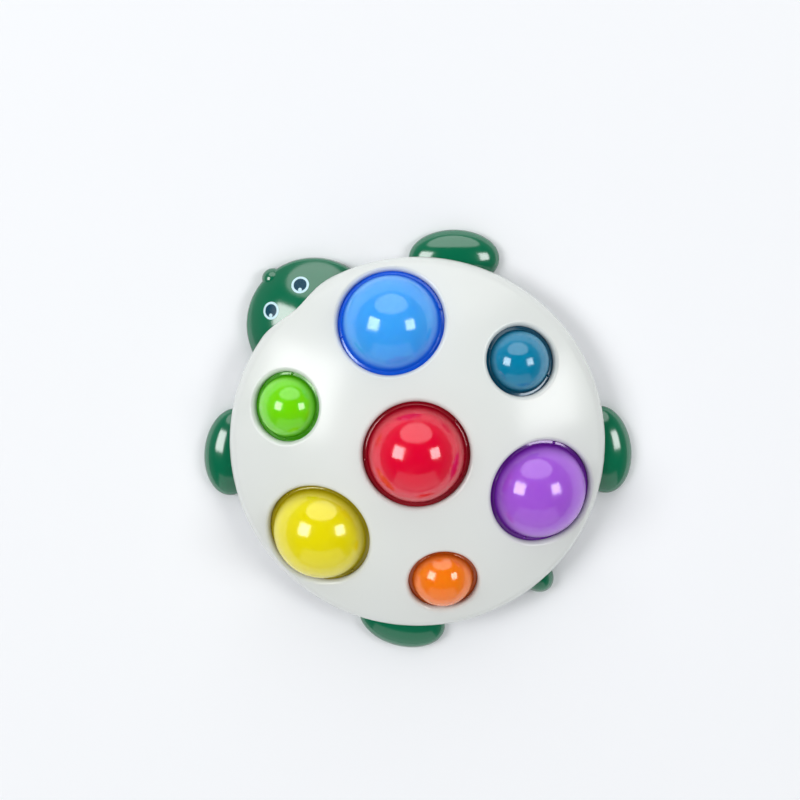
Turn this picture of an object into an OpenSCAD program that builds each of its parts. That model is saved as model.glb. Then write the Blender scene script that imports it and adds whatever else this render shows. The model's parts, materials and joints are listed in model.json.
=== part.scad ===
// Turtle-shaped bubble pop toy: a domed shell that carries seven silicone bubbles.
// Millimetres. The origin is on the table, under the top of the dome. +Y is the head's side, +Z is up.

/* [Shell] */
// Diameter across the rim
shell_d = 150; // [144:1:160]
// Height of the widest line of the rim over the table
rim_level = 10; // [9.5:0.5:14]
// Rise of the dome over the widest line of the rim
dome_rise = 24; // [22:1:28]
// Wall of the outer shell
shell_wall = 2.5; // [2:0.1:3]
// Radius of the rim's rounded edge
rim_round = 6.5; // [5.5:0.5:8]
// Height of the straight edge under the rim's rounding
rim_edge = 0.4; // [0.2:0.1:0.8]

/* [Inner shell] */
// Wall of the inner shell's dome
clamp_wall = 2; // [1.6:0.1:2.6]
// Space between the two shells, where the bubble flanges are held
flange_space = 1.5; // [1.2:0.1:2]
// Radial step from the shell's rim in to the foot ring
foot_inset = 5; // [4:0.5:6]
// Thickness of the foot ring
foot_wall = 2.5; // [2:0.1:3.5]

/* [Bubbles] */
// Distance of the large bubbles' centres inside the rim
large_inset = 22.5; // [22:0.5:25]
// Distance of the small bubbles' centres inside the rim
small_inset = 20.5; // [20:0.5:24]
// Radius of a large bubble where it leaves its flange
large_r = 19.4; // [17:0.1:20.5]
// Radius of a small bubble where it leaves its flange
small_r = 12.3; // [10:0.1:13]
// Height of a large bubble over its flange
large_h = 17; // [12:0.2:18]
// Height of a small bubble over its flange
small_h = 10.8; // [8:0.2:11.4]
// Wall of a bubble
bubble_wall = 1.6; // [1.2:0.1:2]
// Thickness of a bubble's flange
flange_t = 1.3; // [1:0.1:1.3]
// Width of a bubble's flange around its dome
flange_w = 2.7; // [2:0.1:3.5]
// Radius of the part of a large bubble that moves as one
large_crown_r = 12.5; // [10:0.5:13.5]
// Radius of the part of a small bubble that moves as one
small_crown_r = 7.5; // [6:0.5:8]
// Gap between a bubble and its hole in the outer shell
bubble_gap = 1.5; // [0.6:0.1:2]
// Rounding of the lip around each hole
lip_round = 1.8; // [1:0.1:2]
// Depth by which the lip's rounding stops short of the dome's outer face
lip_lift = 0.05; // [0.02:0.01:0.1]

/* [Head and limbs] */
// Radius of the head seen from above
head_r = 27; // [23:0.5:29]
// Thickness of the head
head_t = 15.4; // [12:0.2:17]
// Distance of the head's centre inside the rim
head_inset = 12.5; // [11:0.5:14]
// How far the head reaches inside the rim's inner face
head_tuck = 1.2; // [0.6:0.1:1.5]
// Height of the head's underside over the table
head_lift = 0.8; // [0.4:0.1:2]
// Height of the head's straight side, under its dome
head_side = 2.5; // [2:0.1:4]
// Rounding of the edge between the head's side and its dome
head_edge = 3; // [2:0.2:4]
// Radius of the snout
snout_r = 4.2; // [3.4:0.2:6]
// Reach of the snout past the front of the head
snout_reach = 2; // [1:0.5:4]
// Height of the snout's middle over the head's underside
snout_lift = 1.8; // [1.2:0.2:4]
// Length of a flipper
flipper_l = 36; // [32:0.5:40]
// Width of a flipper
flipper_w = 23; // [18:0.5:24]
// Thickness of a flipper
flipper_t = 8.6; // [7.4:0.2:8.6]
// Angle of the flippers' rear ends away from the rim
flipper_sweep = 11; // [4:1:14]
// Bearing of the front flippers, from the toy's side towards the head
front_bearing = 37.5; // [34:0.5:42]
// Bearing of the hind flippers, from the toy's side towards the tail
hind_bearing = 44; // [40:0.5:46]
// Width of the tail
tail_w = 13; // [11:0.5:15]
// Length of the tail
tail_l = 16.5; // [14:0.5:20]
// Thickness of the tail
tail_t = 8; // [7:0.2:8.6]
// Distance of the tail's middle inside the rim
tail_inset = 1.5; // [1:0.5:4]
// Height of the widest line of flippers and tail over their flat undersides
limb_side = 1; // [0.6:0.1:1.6]

/* [Fixings] */
// Distance of the screws inside the foot ring
screw_inset = 5.5; // [5:0.5:7.5]
// Radius of the bosses that take the screws
boss_r = 3.2; // [2.8:0.1:3.5]
// Wall of the cups that the bosses sit in
cup_wall = 1.7; // [1.4:0.1:2]
// Floor of the cups, which the screws clamp to the bosses
cup_floor = 2; // [1.6:0.1:2.4]
// Height of the cups over the table
cup_lift = 2; // [1:0.5:3]
// Radius of a screw's thread
screw_r = 1.25; // [1:0.05:1.4]
// Radius of a screw's head
screw_head_r = 2.6; // [2.2:0.1:2.7]
// Height of a screw's head
screw_head_h = 1.8; // [1.4:0.1:2]
// Length of a screw under its head
screw_l = 10; // [8:0.5:11]
// Depth of a screw's head inside its recess
screw_sink = 0.2; // [0:0.1:0.6]
// Length of each slot of the screw's cross
drive_l = 3.6; // [3:0.1:4]
// Width of each slot of the screw's cross
drive_w = 0.7; // [0.5:0.1:0.9]
// Depth of the screw's cross
drive_depth = 0.9; // [0.6:0.1:1.2]
// Width of a limb's tang
tang_w = 9; // [8:0.2:10]
// Height of a limb's tang
tang_h = 3.8; // [3:0.2:4.2]
// Width of each of a tang's two prongs
prong_w = 2.4; // [2:0.1:2.8]
// Length of a prong behind the foot ring
prong_tip = 2.4; // [2:0.1:3]
// How far a prong's barb hooks behind the foot ring
barb = 0.9; // [0.6:0.1:1.2]
// How far a tang's root runs into its limb, past the rim's inner face
tang_root = 1.5; // [1:0.1:2]

/* [Clearances] */
// Gap between pieces that are assembled side by side
fit_gap = 0.3; // [0.2:0.05:0.4]
// Gap around a screw's thread
thread_gap = 0.05; // [0.02:0.01:0.1]

/* [Hidden] */
$fn = 96;
NAMES = ["red", "blue", "teal", "purple", "orange", "yellow", "green"];
LIMBS = [
    "head", "front_left_flipper", "front_right_flipper", "hind_left_flipper", "hind_right_flipper", "tail"
];

// Cuts run past the faces that they open by this much
past = 1;

// Radius of a spherical cap that runs smoothly into a rounded edge, whose core circle has the radius given
function cap_r(core, rise, edge) = (pow(core, 2) + pow(rise, 2) - pow(edge, 2)) / (2 * (rise - edge));

// The dome is a spherical cap with the rim as its rounded edge
shell_r = shell_d / 2;
rim_core = shell_r - rim_round;
dome_r = cap_r(rim_core, dome_rise, rim_round);
dome_z = rim_level + dome_rise - dome_r;
rim_z = rim_level - rim_edge;
rim_inner_r = shell_r - shell_wall;
dome_in_r = dome_r - shell_wall;

// The inner shell's dome follows the same centre
clamp_r = dome_in_r - flange_space;
clamp_in_r = clamp_r - clamp_wall;
foot_r = shell_r - foot_inset;
foot_in_r = foot_r - foot_wall;
flange_gap = (flange_space - flange_t) / 2;
flange_top_r = dome_in_r - flange_gap;
flange_low_r = clamp_r + flange_gap;

// Screw stations: the cup's floor carries the boss, and the screw's head sits in the recess under it
screw_angles = [30, 150, 210, 330];
screw_pitch = foot_in_r - screw_inset;
floor_z = cup_lift + screw_sink + screw_head_h;
seat_z = floor_z + cup_floor;
cup_r = boss_r + fit_gap + cup_wall;

// Head and limbs hang just under the rim, and their tangs go through windows in the foot ring
limb_in_r = foot_r + fit_gap;
limb_top = rim_z - fit_gap;
flipper_z = limb_top - flipper_t;
tail_z = limb_top - tail_t;
tail_y = tail_inset - shell_r;
head_y = shell_r - head_inset;
head_in_r = rim_inner_r - head_tuck;
snout_y = head_y + head_r + snout_reach - snout_r;
tang_bearing = 44;
hook_r = foot_in_r - fit_gap;

// Colour, bearing in degrees and size of each bubble
BUBBLES = [
    ["red", "crimson", 0, "centre"],
    ["blue", "dodgerblue", 60, "large"],
    ["teal", "teal", 0, "small"],
    ["purple", "mediumorchid", 300, "large"],
    ["orange", "darkorange", 240, "small"],
    ["yellow", "gold", 180, "large"],
    ["green", "chartreuse", 120, "small"]
];

function is_small(bubble) = bubble[3] == "small";
function seat_r(bubble) = is_small(bubble) ? small_r : large_r;
function rise(bubble) = is_small(bubble) ? small_h : large_h;
function crown_r(bubble) = is_small(bubble) ? small_crown_r : large_crown_r;
function inset(bubble) = is_small(bubble) ? small_inset : large_inset;
function pitch(bubble) = bubble[3] == "centre" ? 0 : shell_r - inset(bubble);
function tilt(bubble) = asin(pitch(bubble) / dome_r);
function bore_r(bubble) = seat_r(bubble) + bubble_gap;
function flange_r(bubble) = seat_r(bubble) + flange_w;

// A bubble is part of a ball, placed by its distance from the dome's centre
function ball_r(bubble) = (pow(seat_r(bubble), 2) + pow(rise(bubble), 2)) / (2 * rise(bubble));
function seat_at(bubble) = sqrt(pow(flange_low_r + flange_t / 2, 2) - pow(seat_r(bubble), 2));
function ball_at(bubble) = seat_at(bubble) + rise(bubble) - ball_r(bubble);

// Places its children on a bubble's axis, measured from the dome's centre
module on_axis(bubble) {
    translate([0, 0, dome_z])
        rotate([0, 0, bubble[2]])
            rotate([0, tilt(bubble), 0])
                children();
}

module at_dome_centre() {
    translate([0, 0, dome_z]) children();
}

module at_screws() {
    for (angle = screw_angles)
        rotate([0, 0, angle])
            translate([screw_pitch, 0, 0])
                children();
}

// Half outline of a cap with a rounded edge, over its widest line. The arcs meet on the line of their centres
module cap_outline(core, rise, edge) {
    radius = cap_r(core, rise, edge);
    beyond = 2 * [core, radius - rise];
    intersection() {
        translate([0, rise - radius]) circle(radius);
        translate([0, rise - radius]) polygon([[0, 0], beyond, [0, beyond[1]]]);
        square([core + edge, rise]);
    }
    intersection() {
        translate([core, 0]) circle(edge);
        translate([core - edge, 0]) square(2 * edge);
    }
}

// Outline of the outer shell's skin
module skin_outline() {
    translate([0, rim_level]) cap_outline(rim_core, dome_rise, rim_round);
    translate([0, rim_z]) square([shell_r, rim_edge]);
}

// The cut for one bubble: a straight bore with a rounded lip at the dome's outer face
module bubble_cut(bubble) {
    lip_r = bore_r(bubble) + lip_round;
    lip_at = sqrt(pow(dome_r - lip_round + lip_lift, 2) - pow(lip_r, 2));
    rotate_extrude() {
        translate([0, lip_at - 2 * lip_round - shell_wall]) square([bore_r(bubble), dome_rise]);
        difference() {
            translate([0, lip_at]) square([lip_r, dome_rise]);
            translate([lip_r, lip_at]) circle(lip_round);
        }
    }
}

// The head's dome on its straight side, grown all round by a gap
module head_form(gap) {
    dome_t = head_t - head_side;
    translate([0, head_y, head_lift])
        rotate_extrude() {
            translate([0, head_side]) cap_outline(head_r - head_edge, dome_t + gap, head_edge + gap);
            translate([0, -gap]) square([head_r + gap, head_side + gap]);
        }
}

module outer_shell() {
    color("white")
        difference() {
            union() {
                difference() {
                    rotate_extrude() skin_outline();
                    intersection() {
                        at_dome_centre() sphere(dome_in_r);
                        cylinder(r = rim_inner_r, h = dome_rise + rim_level);
                    }
                }
                intersection() {
                    at_screws() translate([0, 0, seat_z]) cylinder(r = boss_r, h = dome_rise);
                    at_dome_centre() sphere(dome_in_r + shell_wall / 2);
                }
            }
            for (bubble = BUBBLES) on_axis(bubble) bubble_cut(bubble);
            at_screws() translate([0, 0, seat_z - past]) cylinder(r = screw_r + thread_gap, h = screw_l);
            difference() {
                head_form(fit_gap);
                cylinder(r = head_in_r - fit_gap, h = dome_rise + rim_level);
            }
        }
}

// Outline of the inner shell: a dome on a straight foot ring
module clamp_outline() {
    difference() {
        intersection() {
            square([foot_r, dome_rise + rim_level]);
            translate([0, dome_z]) circle(clamp_r);
        }
        intersection() {
            square([foot_in_r, dome_rise + rim_level]);
            translate([0, dome_z]) circle(clamp_in_r);
        }
    }
}

module inner_shell() {
    color("whitesmoke")
        difference() {
            union() {
                rotate_extrude() clamp_outline();
                intersection() {
                    at_screws() translate([0, 0, cup_lift]) cylinder(r = cup_r, h = dome_rise);
                    at_dome_centre() sphere(clamp_r);
                }
            }
            for (bubble = BUBBLES)
                on_axis(bubble)
                    cylinder(r = seat_r(bubble) + fit_gap, h = dome_r);
            at_screws() translate([0, 0, seat_z]) cylinder(r = boss_r + fit_gap, h = dome_rise);
            at_screws() cylinder(r = screw_r + fit_gap, h = dome_rise);
            at_screws() cylinder(r = screw_head_r + fit_gap, h = floor_z);
            for (limb = LIMBS) tang_window(limb);
        }
}

// Where each limb's tang goes through the foot ring: bearing and height
function tang_angle(limb) =
    limb == "head" ? 90 :
    limb == "tail" ? 270 :
    limb == "front_right_flipper" ? tang_bearing :
    limb == "front_left_flipper" ? 180 - tang_bearing :
    limb == "hind_left_flipper" ? 180 + tang_bearing : 360 - tang_bearing;
function tang_z(limb) = limb_top - (limb == "tail" ? tail_t : flipper_t) / 2;

module tang_window(limb) {
    rotate([0, 0, tang_angle(limb)])
        translate([foot_in_r - past, -tang_w / 2 - fit_gap, tang_z(limb) - tang_h / 2 - fit_gap])
            cube([foot_wall + 2 * past, tang_w + 2 * fit_gap, tang_h + 2 * fit_gap]);
}

// Two springy prongs with barbs that hook behind the foot ring
module tang(limb) {
    tip_r = hook_r - prong_tip;
    root_r = rim_inner_r + tang_root;
    rotate([0, 0, tang_angle(limb)])
        translate([0, 0, tang_z(limb) - tang_h / 2])
            for (side = [0, 1])
                mirror([0, side, 0])
                    linear_extrude(tang_h)
                        polygon([
                            [tip_r, tang_w / 2 - prong_w],
                            [tip_r, tang_w / 2 - prong_w / 2],
                            [hook_r, tang_w / 2 + barb],
                            [hook_r, tang_w / 2],
                            [root_r, tang_w / 2],
                            [root_r, tang_w / 2 - prong_w]
                        ]);
}

module head() {
    color("darkgreen") {
        difference() {
            union() {
                head_form(0);
                translate([0, snout_y, head_lift])
                    intersection() {
                        translate([0, 0, snout_lift]) rotate([90, 0, 0]) sphere(snout_r);
                        cylinder(r = 2 * snout_r, h = head_t);
                    }
            }
            cylinder(r = head_in_r, h = dome_rise + rim_level);
        }
        tang("head");
    }
}

// A domed oval pebble with a flat underside
module pebble(width, length, height) {
    intersection() {
        translate([0, 0, limb_side])
            scale([width / 2, length / 2, height - limb_side])
                rotate([0, 90, 0])
                    sphere(1);
        translate([-width, -length, 0]) cube([2 * width, 2 * length, 2 * height]);
    }
}

// One flipper, under the rim and turned so that its rear end stands out
module flipper(limb, bearing, turn) {
    color("darkgreen") {
        difference() {
            rotate([0, 0, bearing])
                translate([shell_r, 0, flipper_z])
                    rotate([0, 0, turn])
                        pebble(flipper_w, flipper_l, flipper_t);
            cylinder(r = limb_in_r, h = rim_level);
        }
        tang(limb);
    }
}

module tail() {
    color("darkgreen") {
        difference() {
            translate([0, tail_y, tail_z]) pebble(tail_w, tail_l, tail_t);
            cylinder(r = limb_in_r, h = rim_level);
        }
        tang("tail");
    }
}

// Both parts of a bubble are cut from the same hollow ball
module bubble_ball(bubble) {
    translate([0, 0, ball_at(bubble)])
        difference() {
            sphere(ball_r(bubble));
            sphere(ball_r(bubble) - bubble_wall);
        }
}

// The crown pops in and out as one
module bubble_crown(bubble) {
    color(bubble[1])
        on_axis(bubble)
            intersection() {
                bubble_ball(bubble);
                translate([0, 0, ball_at(bubble)]) cylinder(r = crown_r(bubble), h = ball_r(bubble) + past);
            }
}

// The skirt carries the crown and ends in the flange that the two shells hold
module bubble_skirt(bubble) {
    color(bubble[1])
        on_axis(bubble)
            difference() {
                union() {
                    translate([0, 0, ball_at(bubble)]) sphere(ball_r(bubble));
                    intersection() {
                        sphere(flange_top_r);
                        cylinder(r = flange_r(bubble), h = dome_r);
                    }
                }
                translate([0, 0, ball_at(bubble)]) sphere(ball_r(bubble) - bubble_wall);
                sphere(flange_low_r);
                cylinder(r = crown_r(bubble) + fit_gap, h = dome_r + rise(bubble) + past);
            }
}

// Self-tapping screws with a cross recess, all four in one group
module shell_screws() {
    color("silver")
        at_screws()
            translate([0, 0, floor_z])
                difference() {
                    union() {
                        cylinder(r = screw_r, h = screw_l);
                        translate([0, 0, -screw_head_h]) cylinder(r = screw_head_r, h = screw_head_h);
                    }
                    for (turn = [0, 90])
                        rotate([0, 0, turn])
                            translate([0, 0, -screw_head_h])
                                cube([drive_l, drive_w, 2 * drive_depth], center = true);
                }
}

outer_shell();
inner_shell();
shell_screws();
for (bubble = BUBBLES) {
    bubble_crown(bubble);
    bubble_skirt(bubble);
}
head();
flipper("front_left_flipper", 180 - front_bearing, -flipper_sweep);  // front_left_flipper
flipper("front_right_flipper", front_bearing, flipper_sweep);  // front_right_flipper
flipper("hind_left_flipper", 180 + hind_bearing, -flipper_sweep);  // hind_left_flipper
flipper("hind_right_flipper", -hind_bearing, flipper_sweep);  // hind_right_flipper
tail();
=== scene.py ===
# Turtle-shaped bubble pop toy: seven silicone bubbles in a domed shell, with head, four flippers and tail.
# Metres. +Z is up and +Y is the head's side, as in the frame.
import json
import math

import bpy
from mathutils import Matrix, Vector


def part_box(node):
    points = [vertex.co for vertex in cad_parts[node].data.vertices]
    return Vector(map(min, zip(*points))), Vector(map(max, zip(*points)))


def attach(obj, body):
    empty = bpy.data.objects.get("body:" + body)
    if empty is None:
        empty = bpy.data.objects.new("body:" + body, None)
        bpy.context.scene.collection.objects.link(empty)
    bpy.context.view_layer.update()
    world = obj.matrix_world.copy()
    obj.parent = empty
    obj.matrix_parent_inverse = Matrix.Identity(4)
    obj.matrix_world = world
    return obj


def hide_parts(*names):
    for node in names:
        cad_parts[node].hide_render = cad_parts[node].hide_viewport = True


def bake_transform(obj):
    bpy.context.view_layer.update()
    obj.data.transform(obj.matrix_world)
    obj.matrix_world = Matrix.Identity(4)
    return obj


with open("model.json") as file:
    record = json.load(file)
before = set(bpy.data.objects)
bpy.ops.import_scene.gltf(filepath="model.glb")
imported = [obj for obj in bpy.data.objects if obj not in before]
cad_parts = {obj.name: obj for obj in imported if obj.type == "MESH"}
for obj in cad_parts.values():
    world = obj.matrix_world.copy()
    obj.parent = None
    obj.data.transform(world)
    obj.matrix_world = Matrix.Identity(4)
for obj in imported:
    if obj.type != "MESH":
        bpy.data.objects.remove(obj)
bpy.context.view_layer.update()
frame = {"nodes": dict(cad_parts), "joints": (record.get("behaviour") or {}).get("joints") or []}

# Inner shell
# The white ABS moulding that carries the toy: its dome clamps the bubbles' flanges from below, and its foot
# ring stands on the table. It keeps its CAD shape. Its mould is spark-eroded, so that it is satin, with a
# fine grain.
MM = 0.001
INNER_WHITE = "#E6E7E5"
INNER_SHADE = "#DCDDDB"
ABS_IOR = 1.53
MELT_FLOW = 28 * MM
HANDLING_PATCH = 9 * MM
# Shares of a finish's roughness where it is clean and where handling has dulled it
CLEAN_SHARE = 0.94
DULLED_SHARE = 1.08
# The sparks leave pits of about 0.1 mm, which are drawn coarser here so that they show
SPARK_GRAIN = 0.8 * MM
SPARK_DEPTH = 0.02 * MM
# A Mix node's sockets for colours, which have the same names as its sockets for numbers
COLOUR_A = 6
COLOUR_B = 7
COLOUR_OUT = 2


def linear(colour):
    """An sRGB hex colour as linear red, green, blue and alpha."""
    channels = [int(colour[i:i + 2], 16) / 255 for i in (1, 3, 5)]
    return [c / 12.92 if c <= 0.04045 else ((c + 0.055) / 1.055) ** 2.4 for c in channels] + [1.0]


def add(tree, kind, settings, links):
    """Adds a shader node. Settings go to its sockets or options, and links come from other outputs."""
    node = tree.nodes.new("ShaderNode" + kind)
    for name, value in settings.items():
        if isinstance(name, int) or name in node.inputs:
            node.inputs[name].default_value = value
        else:
            setattr(node, name, value)
    for name, output in links.items():
        tree.links.new(output, node.inputs[name])
    return node


def start_material(name, settings):
    """A new material, its node tree and its shader, with the settings that hold all over the surface."""
    material = bpy.data.materials.new(name)
    material.use_nodes = True
    shader = material.node_tree.nodes["Principled BSDF"]
    for socket, value in settings.items():
        shader.inputs[socket].default_value = value
    return material, material.node_tree, shader


def moulded_abs(name, colour, shade, specular, roughness, grain, depth):
    """Moulded ABS: an even colour that drifts a little with the melt's flow, a gloss that handling dulls in
    soft patches, and the grain of the mould, so that reflections waver slightly."""
    material, tree, shader = start_material(name, {"IOR": ABS_IOR, "Specular IOR Level": specular})
    place_on = add(tree, "TexCoord", {}, {}).outputs["Object"]
    flow = add(tree, "TexNoise", {"Scale": 1 / MELT_FLOW, "Detail": 2.0}, {"Vector": place_on})
    tone = add(tree, "Mix", {"data_type": "RGBA", COLOUR_A: linear(colour), COLOUR_B: linear(shade)},
               {0: flow.outputs[0]})
    tree.links.new(tone.outputs[COLOUR_OUT], shader.inputs["Base Color"])
    handling = add(tree, "TexNoise", {"Scale": 1 / HANDLING_PATCH, "Detail": 4.0}, {"Vector": place_on})
    gloss = add(tree, "MapRange", {"From Min": 0.35, "From Max": 0.65, "To Min": CLEAN_SHARE * roughness,
                                   "To Max": DULLED_SHARE * roughness}, {"Value": handling.outputs[0]})
    tree.links.new(gloss.outputs[0], shader.inputs["Roughness"])
    peel = add(tree, "TexNoise", {"Scale": 1 / grain, "Detail": 2.0}, {"Vector": place_on})
    bump = add(tree, "Bump", {"Strength": 1.0, "Distance": depth}, {"Height": peel.outputs[0]})
    tree.links.new(bump.outputs[0], shader.inputs["Normal"])
    return material


def dress(piece, *materials):
    """Gives a piece these materials and no others."""
    piece.data.materials.clear()
    for material in materials:
        piece.data.materials.append(material)


satin_abs = moulded_abs("spark_eroded_white_abs", INNER_WHITE, INNER_SHADE, specular=0.5, roughness=0.45,
                        grain=SPARK_GRAIN, depth=SPARK_DEPTH)
dress(frame["nodes"]["inner_shell"], satin_abs)

# Bubbles
# Seven domes of soft silicone, one moulding each. A flange round the foot of each dome is held between the
# two shells. A push turns the dome inside out, so each mesh blends from its flange to its moving crown.
SHELL_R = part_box("outer_shell")[1].x
RIM_LEVEL = 10 * MM
RIM_ROUND = 6.5 * MM
DOME_RISE = 24 * MM
SHELL_WALL = 2.5 * MM
FLANGE_GAP = 0.1 * MM
FLANGE_T = 1.3 * MM
FLANGE_W = 2.7 * MM
BUBBLE_WALL = 1.6 * MM
FOOT_FILLET = 0.6 * MM
ROUND_STEPS = 128
WELD_GAP = 0.001 * MM
PIP_R = 0.6 * MM
PIP_OUT = 0.75 * MM
SILICONE_IOR = 1.55
PIGMENT_CLOUD = 14 * MM
FINGER_PATCH = 6 * MM
GLOW_DEPTH = 1.2 * MM
# Shares of a bubble's height between which the painted shade at its foot gives way to the colour above
FOOT_LOW = 0.04
FOOT_HIGH = 0.55
# Radius at the seat, and height, of the two sizes of bubble
LARGE = (19.4 * MM, 17 * MM)
SMALL = (12.3 * MM, 10.8 * MM)
# Size, bearings of the two pips in degrees, colour, the tone it drifts to, and the foot's painted shade
BUBBLES = {
    "red": (LARGE, (145, 0), "#EC0036", "#DE002E", "#940018"),
    "blue": (LARGE, (155, 335), "#42ACFF", "#369EFF", "#0E60E0"),
    "teal": (SMALL, (119, 294), "#0088B0", "#007CA2", "#004660"),
    "purple": (LARGE, (33, 213), "#AC60E0", "#A054D6", "#661894"),
    "orange": (SMALL, (60, 240), "#FF8410", "#FA7A06", "#B44A00"),
    "yellow": (LARGE, (88, 268), "#F0E400", "#E6D800", "#A49400"),
    "green": (SMALL, (43, 223), "#7AE200", "#70D600", "#409800"),
}


def cap_radius(core, rise, edge):
    """Radius of a domed cap that runs smoothly into a rounded edge, rolled round this core circle."""
    return (core ** 2 + rise ** 2 - edge ** 2) / (2 * (rise - edge))


rim_core = SHELL_R - RIM_ROUND
dome_r = cap_radius(rim_core, DOME_RISE, RIM_ROUND)
dome_centre = Vector((0, 0, RIM_LEVEL + DOME_RISE - dome_r))
dome_in_r = dome_r - SHELL_WALL
flange_top_r = dome_in_r - FLANGE_GAP
flange_low_r = flange_top_r - FLANGE_T


def draw(name, points):
    """A new object with one line through these points, drawn by extruding a single vertex."""
    bpy.ops.object.select_all(action="DESELECT")
    bpy.ops.mesh.primitive_plane_add(size=MM)
    piece = bpy.context.object
    piece.name = name
    bpy.ops.object.mode_set(mode="EDIT")
    bpy.ops.mesh.merge(type="CENTER")
    bpy.ops.transform.translate(value=points[0])
    for here, there in zip(points, points[1:]):
        step = Vector(there) - Vector(here)
        bpy.ops.mesh.extrude_vertices_move(TRANSFORM_OT_translate={"value": step})
    bpy.ops.mesh.select_all(action="SELECT")
    return piece


def turn(name, section, steps):
    """A turned piece: a half section, as radius and height, is drawn and spun once round Z."""
    piece = draw(name, [(x, 0, z) for x, z in section])
    bpy.ops.mesh.spin(steps=steps, angle=2 * math.pi, center=(0, 0, 0), axis=(0, 0, 1))
    bpy.ops.mesh.select_all(action="SELECT")
    bpy.ops.mesh.remove_doubles(threshold=WELD_GAP)
    bpy.ops.mesh.normals_make_consistent(inside=False)
    bpy.ops.object.mode_set(mode="OBJECT")
    return piece


def arc(centre, radius, start, end, steps):
    """Points of an arc in a half section. The angles are in degrees, from the outward direction up."""
    angles = [math.radians(start + (end - start) * i / steps) for i in range(steps + 1)]
    return [(centre[0] + radius * math.cos(a), centre[1] + radius * math.sin(a)) for a in angles]


def standing(origin, outward):
    """The place of a thing that stands at this origin, with its Z axis outward."""
    return Matrix.Translation(origin) @ outward.to_track_quat("Z", "Y").to_matrix().to_4x4()


def settle(piece, where):
    """Takes a new piece to its place and applies that to its mesh, so its object stays at the origin."""
    piece.matrix_world = where
    bpy.ops.object.transform_apply(location=True, rotation=True, scale=True)


def ball(name, radius, at, segments, rings):
    """A new ball at this place, applied to its mesh."""
    bpy.ops.object.select_all(action="DESELECT")
    bpy.ops.mesh.primitive_uv_sphere_add(segments=segments, ring_count=rings, radius=radius)
    piece = bpy.context.object
    piece.name = name
    settle(piece, Matrix.Translation(at))
    return piece


def finish_with(piece, kind, settings):
    """Adds a modifier with its settings and applies it."""
    bpy.ops.object.select_all(action="DESELECT")
    piece.select_set(True)
    bpy.context.view_layer.objects.active = piece
    modifier = piece.modifiers.new(kind.lower(), kind)
    for name, value in settings.items():
        setattr(modifier, name, value)
    bpy.ops.object.modifier_apply(modifier=modifier.name)


def smooth(piece, degrees):
    """Shades a piece smooth, apart from edges sharper than this."""
    bpy.ops.object.select_all(action="DESELECT")
    piece.select_set(True)
    bpy.context.view_layer.objects.active = piece
    bpy.ops.object.shade_smooth_by_angle(angle=math.radians(degrees))


def combine(piece, other, operation):
    """Cuts another piece from this one, or unites them, and removes the other."""
    finish_with(piece, "BOOLEAN", {"operation": operation, "solver": "EXACT", "object": other})
    bpy.data.objects.remove(other)


def seat_distance(seat_r):
    """How far a bubble's seat lies from the dome's centre, along the bubble's axis."""
    return math.sqrt((flange_low_r + FLANGE_T / 2) ** 2 - seat_r ** 2)


def bubble(name, seat_r, height):
    """One bubble about Z, with its seat at the origin: a hollow part of a ball on a thin dished flange."""
    outer = (seat_r ** 2 + height ** 2) / (2 * height)
    inner = outer - BUBBLE_WALL
    centre = (0, height - outer)
    flange_r = seat_r + FLANGE_W

    def level(sphere_r, radius):
        """Height over the seat of a sphere about the dome's centre, at this radius from the axis."""
        return math.sqrt(sphere_r ** 2 - radius ** 2) - seat_distance(seat_r)

    foot = math.degrees(math.asin((level(flange_top_r, seat_r) - centre[1]) / outer))
    inner_foot = math.degrees(math.asin((level(flange_low_r, seat_r - BUBBLE_WALL) - centre[1]) / inner))
    section = arc(centre, outer, 90, foot, steps=40)
    section += [(flange_r, level(flange_top_r, flange_r)), (flange_r, level(flange_low_r, flange_r))]
    section += arc(centre, inner, inner_foot, 90, steps=32)
    piece = turn(name, section, ROUND_STEPS)
    finish_with(piece, "BEVEL", {"width": FOOT_FILLET, "segments": 4, "angle_limit": math.radians(35)})
    return piece


def add_pip(piece, seat_r, outward, bearing):
    """Adds a small moulded pip on a bubble's flange, in the gap beside the dome, on this bearing."""
    flat = Vector((math.cos(math.radians(bearing)), math.sin(math.radians(bearing)), 0))
    across = (flat - outward * flat.dot(outward)).normalized()
    reach = seat_r + PIP_OUT
    at = dome_centre + across * reach + outward * math.sqrt(flange_top_r ** 2 - reach ** 2)
    combine(piece, ball("pip", PIP_R, at, segments=24, rings=16), "UNION")


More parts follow.
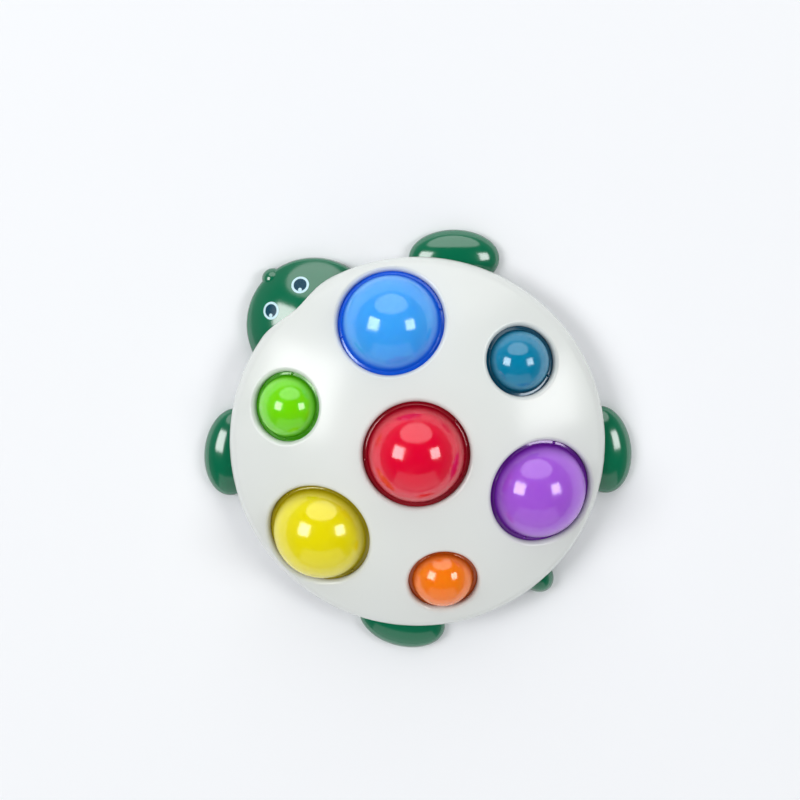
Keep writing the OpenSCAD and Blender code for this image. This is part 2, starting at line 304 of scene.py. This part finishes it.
def silicone(name, colour, drift, painted_foot_shade):
    """Platinum silicone from a polished mould: a saturated pigment that lets light a little way in, so it
    glows. Painted shade darkens it towards the foot, where the shell shuts the light out. Fingers leave
    faint cloudy patches in its gloss."""
    material, tree, shader = start_material(name, {
        "IOR": SILICONE_IOR,
        "Specular IOR Level": 1.0,
        "Specular Tint": [0.7 + 0.3 * c for c in linear(colour)],
        "Subsurface Weight": 0.3,
        "Subsurface Radius": [0.2 + 0.8 * c for c in linear(colour)[:3]],
        "Subsurface Scale": GLOW_DEPTH,
    })
    place_on = add(tree, "TexCoord", {}, {}).outputs["Object"]
    pigment = add(tree, "TexNoise", {"Scale": 1 / PIGMENT_CLOUD, "Detail": 3.0}, {"Vector": place_on})
    tone = add(tree, "Mix", {"data_type": "RGBA", COLOUR_A: linear(colour), COLOUR_B: linear(drift)},
               {0: pigment.outputs[0]})
    # Painted shade: a darker copy of the colour fades in towards the foot, by the stored share of height
    rise = add(tree, "Attribute", {"attribute_name": "rise"}, {})
    foot = add(tree, "MapRange", {"interpolation_type": "SMOOTHSTEP", "From Min": FOOT_LOW,
                                  "From Max": FOOT_HIGH}, {"Value": rise.outputs["Fac"]})
    body = add(tree, "Mix", {"data_type": "RGBA", COLOUR_A: linear(painted_foot_shade)},
               {0: foot.outputs[0], COLOUR_B: tone.outputs[COLOUR_OUT]})
    tree.links.new(body.outputs[COLOUR_OUT], shader.inputs["Base Color"])
    touch = add(tree, "TexNoise", {"Scale": 1 / FINGER_PATCH, "Detail": 5.0}, {"Vector": place_on})
    gloss = add(tree, "MapRange", {"From Min": 0.35, "From Max": 0.7, "To Min": 0.1, "To Max": 0.2},
                {"Value": touch.outputs[0]})
    tree.links.new(gloss.outputs[0], shader.inputs["Roughness"])
    return material


joints = {joint["child"]: joint for joint in frame["joints"]}
for colour, ((seat_r, height), pips, light, drift, painted_foot_shade) in BUBBLES.items():
    outward = -Vector(joints[colour + "_bubble"]["axis"])
    seat = dome_centre + outward * seat_distance(seat_r)
    piece = bubble(colour + "_bubble_dome", seat_r, height)
    settle(piece, standing(seat, outward))
    for bearing in pips:
        add_pip(piece, seat_r, outward, bearing)
    smooth(piece, degrees=40)
    # The share of the bubble's height at each point, stored so that its colours stay with it in any pose
    shares = [(vertex.co - seat).dot(outward) / height for vertex in piece.data.vertices]
    rise = piece.data.attributes.new("rise", "FLOAT", "POINT")
    rise.data.foreach_set("value", shares)
    dress(piece, silicone(colour + "_moulded_silicone", light, drift, painted_foot_shade))
    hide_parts(colour + "_bubble_crown", colour + "_bubble_skirt")
    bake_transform(piece)

# Outer shell
# The white, glossy ABS dome that shows. A rounded lip runs round each bubble's hole, the rim turns under in
# one soft roll, and the head comes out through a notch in it. Four screws pull it down on the inner shell.
SHELL_WHITE = "#E0E4E1"
SHELL_SHADE = "#DCE0DD"
RIM_EDGE = 0.4 * MM
EDGE_BREAK = 0.15 * MM
BUBBLE_GAP = 1.5 * MM
LIP_ROUND = 1.8 * MM
# Lifts the lip's arc just clear of the dome, so that the hole is cut cleanly
LIP_LIFT = 0.01 * MM
CUT_REACH = 12 * MM
FIT_GAP = 0.3 * MM
HEAD_R = 27 * MM
HEAD_T = 15.4 * MM
HEAD_SIDE = 2.5 * MM
HEAD_EDGE = 3 * MM
HEAD_INSET = 12.5 * MM
HEAD_LIFT = 0.8 * MM
HEAD_TUCK = 1.2 * MM
SHELL_STEPS = 224
# The slow waves that polishing leaves in a mould
POLISH_WAVE = 2.2 * MM
POLISH_DEPTH = 0.004 * MM
head_y = SHELL_R - HEAD_INSET


def cap_section(core, level, rise, edge, start_r, cap_steps, edge_steps):
    """Half section of a domed top with a rounded edge, from near the axis out to its widest line."""
    radius = cap_radius(core, rise, edge)
    centre = level + rise - radius
    start = math.degrees(math.acos(start_r / radius))
    meet = math.degrees(math.atan2(level - centre, core))
    cap = arc((0, centre), radius, start, meet, cap_steps)
    return cap + arc((core, level), edge, meet, 0, edge_steps)[1:]


def hole_cutter(seat_r):
    """The space for one bubble about Z, from the dome's centre: a bore that flares over a rounded lip."""
    bore = seat_r + BUBBLE_GAP
    lip_r = bore + LIP_ROUND
    lip_at = math.sqrt((dome_r - LIP_ROUND + LIP_LIFT) ** 2 - lip_r ** 2)
    lip = arc((lip_r, lip_at), LIP_ROUND, 180, math.degrees(math.atan2(lip_at, lip_r)), steps=14)
    low = lip_at - CUT_REACH
    high = lip_at + CUT_REACH
    return turn("hole", [(0, low), (bore, low)] + lip + [(lip[-1][0], high), (0, high)], ROUND_STEPS)


def head_dome(name, gap):
    """The head's dome on its straight side, about Z, grown all round by a gap."""
    level = HEAD_LIFT + HEAD_SIDE
    top = cap_section(HEAD_R - HEAD_EDGE, level, HEAD_T - HEAD_SIDE + gap, HEAD_EDGE + gap, start_r=0,
                      cap_steps=48, edge_steps=16)
    piece = turn(name, top + [(HEAD_R + gap, HEAD_LIFT - gap), (0, HEAD_LIFT - gap)], ROUND_STEPS)
    settle(piece, Matrix.Translation((0, head_y, 0)))
    return piece


def round_block(radius):
    """A plain round block about Z, taller than the toy, which trims what must stay outside a radius."""
    bpy.ops.object.select_all(action="DESELECT")
    bpy.ops.mesh.primitive_cylinder_add(vertices=256, radius=radius, depth=4 * DOME_RISE)
    return bpy.context.object


def soften(piece):
    """Shades a piece smooth apart from its sharp edges, with normals that follow its larger faces."""
    smooth(piece, degrees=32)
    finish_with(piece, "WEIGHTED_NORMAL", {"weight": 50, "keep_sharp": True})


rim_inner_r = SHELL_R - SHELL_WALL
rim_z = RIM_LEVEL - RIM_EDGE
# The section starts inside the red bubble's hole, so the skin has no pole at its top
hole_start = SMALL[0] / 2
skin = cap_section(rim_core, RIM_LEVEL, DOME_RISE, RIM_ROUND, hole_start, cap_steps=56, edge_steps=18)
skin += [(SHELL_R, rim_z), (rim_inner_r, rim_z)]
inside = [math.degrees(math.acos(radius / dome_in_r)) for radius in (rim_inner_r, hole_start)]
skin += arc((0, dome_centre.z), dome_in_r, *inside, steps=40)
shell = turn("outer_shell_skin", skin + skin[:1], SHELL_STEPS)
finish_with(shell, "BEVEL", {"width": EDGE_BREAK, "segments": 2, "angle_limit": math.radians(50)})
for colour, ((seat_r, _), *_) in BUBBLES.items():
    cutter = hole_cutter(seat_r)
    settle(cutter, standing(dome_centre, -Vector(joints[colour + "_bubble"]["axis"])))
    combine(shell, cutter, "DIFFERENCE")
notch = head_dome("notch", FIT_GAP)
combine(notch, round_block(rim_inner_r - HEAD_TUCK - FIT_GAP), "DIFFERENCE")
combine(shell, notch, "DIFFERENCE")
soften(shell)
gloss_abs = moulded_abs("polished_white_abs", SHELL_WHITE, SHELL_SHADE, specular=0.4, roughness=0.2,
                        grain=POLISH_WAVE, depth=POLISH_DEPTH)
dress(shell, gloss_abs)
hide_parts("outer_shell")
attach(shell, "body")

# Shell screws
# Four zinc-plated self-tapping screws, driven from below into the outer shell's bosses. They keep their CAD
# shape. The plating is bright but not polished, with darker spots and fine marks from forming.
ZINC = "#B7B9BC"
ZINC_SPOT = "#94969A"
ZINC_CLOUD = 1.2 * MM
# The marks are about 0.05 mm wide, and are drawn coarser here so that they show
MARK_SIZE = 0.3 * MM
MARK_DEPTH = 0.01 * MM


def zinc_plate(name):
    """Zinc-plated steel: a cool bright metal with cloudy spots and fine marks, so its glints break up."""
    material, tree, shader = start_material(name, {"Metallic": 1.0})
    place_on = add(tree, "TexCoord", {}, {}).outputs["Object"]
    spots = add(tree, "TexNoise", {"Scale": 1 / ZINC_CLOUD, "Detail": 4.0}, {"Vector": place_on})
    tone = add(tree, "Mix", {"data_type": "RGBA", COLOUR_A: linear(ZINC), COLOUR_B: linear(ZINC_SPOT)},
               {0: spots.outputs[0]})
    tree.links.new(tone.outputs[COLOUR_OUT], shader.inputs["Base Color"])
    rough = add(tree, "MapRange", {"To Min": 0.25, "To Max": 0.5}, {"Value": spots.outputs[0]})
    tree.links.new(rough.outputs[0], shader.inputs["Roughness"])
    marks = add(tree, "TexNoise", {"Scale": 1 / MARK_SIZE, "Detail": 1.0}, {"Vector": place_on})
    bump = add(tree, "Bump", {"Strength": 1.0, "Distance": MARK_DEPTH}, {"Height": marks.outputs[0]})
    tree.links.new(bump.outputs[0], shader.inputs["Normal"])
    return material


dress(frame["nodes"]["shell_screws"], zinc_plate("zinc_plated_steel"))

# Head
# A glossy dark green ABS dome with a small snout, moulded flat underneath. It comes out through the shell's
# notch, and two springy prongs clip it into a window of the foot ring.
LIMB_GREEN = "#00704C"
LIMB_SHADE = "#006645"
SNOUT_R = 4.2 * MM
SNOUT_REACH = 2 * MM
SNOUT_LIFT = 1.8 * MM
HEAD_BEARING = 90
RING_INSET = 5 * MM
RING_WALL = 2.5 * MM
TANG_W = 9 * MM
TANG_H = 3.8 * MM
TANG_ROOT = 1.5 * MM
PRONG_W = 2.4 * MM
PRONG_TIP = 2.4 * MM
BARB = 0.9 * MM
FLIPPER_T = 8.6 * MM
ring_r = SHELL_R - RING_INSET
limb_top = rim_z - FIT_GAP
green_abs = moulded_abs("polished_green_abs", LIMB_GREEN, LIMB_SHADE, specular=1.0, roughness=0.14,
                        grain=POLISH_WAVE, depth=POLISH_DEPTH)


def prong(bearing, level, side):
    """One springy prong of a limb's clip, with a barb that hooks behind the foot ring."""
    hook_r = ring_r - RING_WALL - FIT_GAP
    tip_r = hook_r - PRONG_TIP
    root_r = rim_inner_r + TANG_ROOT
    half = TANG_W / 2
    outline = [(tip_r, half - PRONG_W), (tip_r, half - PRONG_W / 2), (hook_r, half + BARB), (hook_r, half),
               (root_r, half), (root_r, half - PRONG_W)]
    piece = draw("prong", [(x, side * y, level - TANG_H / 2) for x, y in outline])
    bpy.ops.mesh.edge_face_add()
    bpy.ops.mesh.extrude_region_move(TRANSFORM_OT_translate={"value": (0, 0, TANG_H)})
    bpy.ops.mesh.select_all(action="SELECT")
    bpy.ops.mesh.normals_make_consistent(inside=False)
    bpy.ops.object.mode_set(mode="OBJECT")
    settle(piece, Matrix.Rotation(math.radians(bearing), 4, "Z"))
    return piece


def clip_in(limb, node, bearing, level):
    """Adds a limb's two prongs, and gives it its finish and its place in the frame."""
    for side in (1, -1):
        combine(limb, prong(bearing, level, side), "UNION")
    soften(limb)
    dress(limb, green_abs)
    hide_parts(node)
    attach(limb, "body")


head = head_dome("head_dome", 0)
snout_at = (0, head_y + HEAD_R + SNOUT_REACH - SNOUT_R, HEAD_LIFT + SNOUT_LIFT)
snout = ball("snout", SNOUT_R, snout_at, segments=64, rings=48)
bpy.ops.object.mode_set(mode="EDIT")
bpy.ops.mesh.select_all(action="SELECT")
bpy.ops.mesh.bisect(plane_co=(0, 0, HEAD_LIFT), plane_no=(0, 0, 1), use_fill=True, clear_inner=True)
bpy.ops.object.mode_set(mode="OBJECT")
combine(head, snout, "UNION")
combine(head, round_block(rim_inner_r - HEAD_TUCK), "DIFFERENCE")
clip_in(head, "head", HEAD_BEARING, limb_top - FLIPPER_T / 2)

# Eyes
# Two round eyes, pad-printed on the head's dome: a white ring, a dark blue-green pupil and a white glint.
# The ink stands a few hundredths of a millimetre proud and is a little duller than the plastic.
EYE_X = 7.75 * MM
EYE_Y = 78.5 * MM
EYE_R = 3.55 * MM
PUPIL_R = 2.6 * MM
GLINT_R = 0.75 * MM
GLINT_OFF = 1.85 * MM
GLINT_BEARING = 228.8
INK_T = 0.06 * MM
INK_WHITE = "#CAEAF2"
INK_WHITE_THIN = "#C0E0E9"
INK_DARK = "#00384E"
INK_DARK_THIN = "#004458"
# The pad's texture is about 0.1 mm across, and is drawn coarser here so that it shows
PAD_TEXTURE = 0.5 * MM
SPOT_STEPS = 64
head_cap_r = cap_radius(HEAD_R - HEAD_EDGE, HEAD_T - HEAD_SIDE, HEAD_EDGE)
head_cap_centre = Vector((0, head_y, HEAD_LIFT + HEAD_T - head_cap_r))


def pad_ink(name, colour, thin):
    """Pad-printing ink: an opaque film that lies a little thinner in places, with a satin surface and a
    faint texture from the soft pad."""
    material, tree, shader = start_material(name, {"Specular IOR Level": 0.25})
    place_on = add(tree, "TexCoord", {}, {}).outputs["Object"]
    texture = add(tree, "TexNoise", {"Scale": 1 / PAD_TEXTURE, "Detail": 3.0}, {"Vector": place_on})
    tone = add(tree, "Mix", {"data_type": "RGBA", COLOUR_A: linear(colour), COLOUR_B: linear(thin)},
               {0: texture.outputs[0]})
    tree.links.new(tone.outputs[COLOUR_OUT], shader.inputs["Base Color"])
    rough = add(tree, "MapRange", {"To Min": 0.15, "To Max": 0.4}, {"Value": texture.outputs[0]})
    tree.links.new(rough.outputs[0], shader.inputs["Roughness"])
    return material


def on_head(x, y):
    """The point of the head's dome over this place."""
    flat = Vector((x, y, head_cap_centre.z)) - head_cap_centre
    return Vector((x, y, head_cap_centre.z + math.sqrt(head_cap_r ** 2 - flat.length_squared)))


def printed_spot(name, x, y, radii, film):
    """A round film of ink on the head's dome, with rings at these radii."""
    film_r = head_cap_r + film
    top = [(radius, math.sqrt(film_r ** 2 - radius ** 2)) for radius in radii]
    under = [(radius, math.sqrt(head_cap_r ** 2 - radius ** 2) - INK_T) for radius in reversed(radii)]
    piece = turn(name, top + under, SPOT_STEPS)
    settle(piece, standing(head_cap_centre, (on_head(x, y) - head_cap_centre).normalized()))
    smooth(piece, degrees=40)
    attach(piece, "body")
    return piece


white_ink = pad_ink("white_pad_ink", INK_WHITE, INK_WHITE_THIN)
dark_ink = pad_ink("dark_pad_ink", INK_DARK, INK_DARK_THIN)
glint_angle = math.radians(GLINT_BEARING)
for side, sign in (("left", -1), ("right", 1)):
    eye_at = on_head(sign * EYE_X, EYE_Y)
    rings = [0, 0.4 * PUPIL_R, 0.8 * PUPIL_R, PUPIL_R, (PUPIL_R + EYE_R) / 2, EYE_R]
    eye = printed_spot(side + "_eye", eye_at.x, eye_at.y, rings, INK_T)
    dress(eye, white_ink, dark_ink)
    # Faces inside the pupil take the second ink
    for face in eye.data.polygons:
        face.material_index = int((face.center - eye_at).length < PUPIL_R)
    glint_x = eye_at.x + GLINT_OFF * math.cos(glint_angle)
    glint_y = eye_at.y + GLINT_OFF * math.sin(glint_angle)
    glint = printed_spot(side + "_eye_glint", glint_x, glint_y, [0, 0.5 * GLINT_R, GLINT_R], 2 * INK_T)
    dress(glint, white_ink)

# Flippers and tail
# Five domed green ABS pebbles, flat underneath, that reach out from under the rim. Each is clipped into a
# window of the foot ring as the head is. The rear end of each flipper stands further out than its front end.
FLIPPER_L = 36 * MM
FLIPPER_W = 23 * MM
TAIL_W = 13 * MM
TAIL_L = 16.5 * MM
TAIL_T = 8 * MM
TAIL_INSET = 1.5 * MM
TAIL_BEARING = 270
LIMB_SIDE = 1 * MM
LIMB_EDGE = 0.4 * MM
FLIPPER_SWEEP = 11
FRONT_BEARING = 37.5
HIND_BEARING = 44
TANG_BEARING = 44


def pebble(name, width, length, height):
    """A domed oval pebble about Z, flat underneath, with a small rounded edge round its underside."""
    piece = ball(name, radius=1, at=(0, 0, 0), segments=128, rings=96)
    bpy.ops.object.mode_set(mode="EDIT")
    bpy.ops.mesh.select_all(action="SELECT")
    bpy.ops.transform.resize(value=(width / 2, length / 2, height - LIMB_SIDE))
    bpy.ops.transform.translate(value=(0, 0, LIMB_SIDE))
    bpy.ops.mesh.bisect(plane_co=(0, 0, 0), plane_no=(0, 0, 1), use_fill=True, clear_inner=True)
    bpy.ops.object.mode_set(mode="OBJECT")
    finish_with(piece, "BEVEL", {"width": LIMB_EDGE, "segments": 4, "angle_limit": math.radians(50)})
    return piece


def set_under_rim(piece, node, origin, turn_by, tang_bearing, height):
    """Puts a pebble in its place under the rim, trims it to the foot ring and clips it in."""
    settle(piece, Matrix.Translation(origin) @ Matrix.Rotation(math.radians(turn_by), 4, "Z"))
    combine(piece, round_block(ring_r + FIT_GAP), "DIFFERENCE")
    clip_in(piece, node, tang_bearing, limb_top - height / 2)


# Node, bearing of the flipper, its turn from that bearing, and bearing of its clip, in degrees
FLIPPERS = (
    ("front_right_flipper", FRONT_BEARING, FLIPPER_SWEEP, TANG_BEARING),
    ("front_left_flipper", 180 - FRONT_BEARING, -FLIPPER_SWEEP, 180 - TANG_BEARING),
    ("hind_left_flipper", 180 + HIND_BEARING, -FLIPPER_SWEEP, 180 + TANG_BEARING),
    ("hind_right_flipper", -HIND_BEARING, FLIPPER_SWEEP, -TANG_BEARING),
)
for node, bearing, sweep, tang_bearing in FLIPPERS:
    flipper = pebble(node + "_pebble", FLIPPER_W, FLIPPER_L, FLIPPER_T)
    out = Vector((math.cos(math.radians(bearing)), math.sin(math.radians(bearing)), 0))
    origin = SHELL_R * out + Vector((0, 0, limb_top - FLIPPER_T))
    set_under_rim(flipper, node, origin, bearing + sweep, tang_bearing, FLIPPER_T)
tail = pebble("tail_pebble", TAIL_W, TAIL_L, TAIL_T)
set_under_rim(tail, "tail", Vector((0, TAIL_INSET - SHELL_R, limb_top - TAIL_T)), 0, TAIL_BEARING, TAIL_T)

# Camera
# A still camera nearly straight above the toy, turned so that the head points up and to the left. Its place
# comes from fitting the toy's outline and bubbles to the photograph.
EYE_POINT = Vector((94.2, 96.0, 697.2)) * MM
AIM_POINT = Vector((6.75, 17.93, 10.0)) * MM
IMAGE_UP = Vector((0.649, 0.742, -0.167))
SENSOR_W = 36
FOCAL_L = 78.75
NEAREST = 10 * MM
back = (EYE_POINT - AIM_POINT).normalized()
right = IMAGE_UP.cross(back).normalized()
up = back.cross(right)
camera_data = bpy.data.cameras.new("camera")
camera_data.sensor_width = SENSOR_W
camera_data.lens = FOCAL_L
camera_data.clip_start = NEAREST
camera = bpy.data.objects.new("camera", camera_data)
bpy.context.scene.collection.objects.link(camera)
camera.matrix_world = Matrix.Translation(EYE_POINT) @ Matrix((right, up, back)).transposed().to_4x4()
bpy.context.scene.camera = camera
bpy.context.scene.view_settings.view_transform = "Standard"

# Floor and light
# A plain floor in pale matt paint. Two square soft lights hang left and right of the camera, a wide oval
# panel on its far side, and a panel and a fill on its near side, all far off, so that the light is even.
# The room is dim overhead and brighter towards the horizon, which gives glossy pieces a soft pale edge.
FLOOR_PALE = "#F1F3F6"
FLOOR_SIZE = 40
LIGHT_FAR = 3.0
ROOM_PALE = "#F2F4F8"
HORIZON_GLOW = 0.28
OVERHEAD_GLOW = 0.04
# Height at which the horizon's glow has faded out, where 1 is straight overhead
GLOW_TOP = 0.6
bpy.ops.object.select_all(action="DESELECT")
bpy.ops.mesh.primitive_plane_add(size=FLOOR_SIZE)
floor = bpy.context.object
floor.name = "floor"
matt_paint, *_ = start_material("rolled_matt_paint", {
    "Base Color": linear(FLOOR_PALE),
    "Roughness": 0.9,
    "Specular IOR Level": 0.1,
})
dress(floor, matt_paint)


def soft_light(name, shape, towards_right, towards_up, width, height, power, shows=True):
    """A flat soft light, turned from the camera's axis to the right and up by these angles in degrees. Its
    sides are in metres and its power in watts, and glossy pieces mirror it only if it shows."""
    side = math.radians(towards_right)
    lift = math.radians(towards_up)
    level = back * math.cos(side) + right * math.sin(side)
    direction = level * math.cos(lift) + up * math.sin(lift)
    light = bpy.data.lights.new(name, "AREA")
    light.shape = shape
    light.size = width
    light.size_y = height
    light.energy = power
    lamp = bpy.data.objects.new(name, light)
    lamp.matrix_world = standing(direction * LIGHT_FAR, direction)
    lamp.visible_glossy = shows
    bpy.context.scene.collection.objects.link(lamp)


soft_light("left_softbox", "RECTANGLE", -42, 1, 1.4, 1.4, power=47)
soft_light("right_softbox", "RECTANGLE", 43, 0, 1.15, 1.15, power=30)
soft_light("far_panel", "ELLIPSE", -2, 48, 4.0, 2.8, power=48)
soft_light("near_panel", "RECTANGLE", 0, -73, 5.0, 2.6, power=20)
soft_light("near_fill", "ELLIPSE", 0, -50, 4.0, 3.0, power=18, shows=False)

room = bpy.data.worlds.new("studio")
room.use_nodes = True
bpy.context.scene.world = room
walls = room.node_tree.nodes["Background"]
walls.inputs["Color"].default_value = linear(ROOM_PALE)
towards = add(room.node_tree, "TexCoord", {}, {})
upward = add(room.node_tree, "SeparateXYZ", {}, {0: towards.outputs["Generated"]})
glow = add(room.node_tree, "MapRange", {"interpolation_type": "SMOOTHSTEP", "From Max": GLOW_TOP,
                                        "To Min": HORIZON_GLOW, "To Max": OVERHEAD_GLOW},
           {"Value": upward.outputs["Z"]})
room.node_tree.links.new(glow.outputs[0], walls.inputs["Strength"])
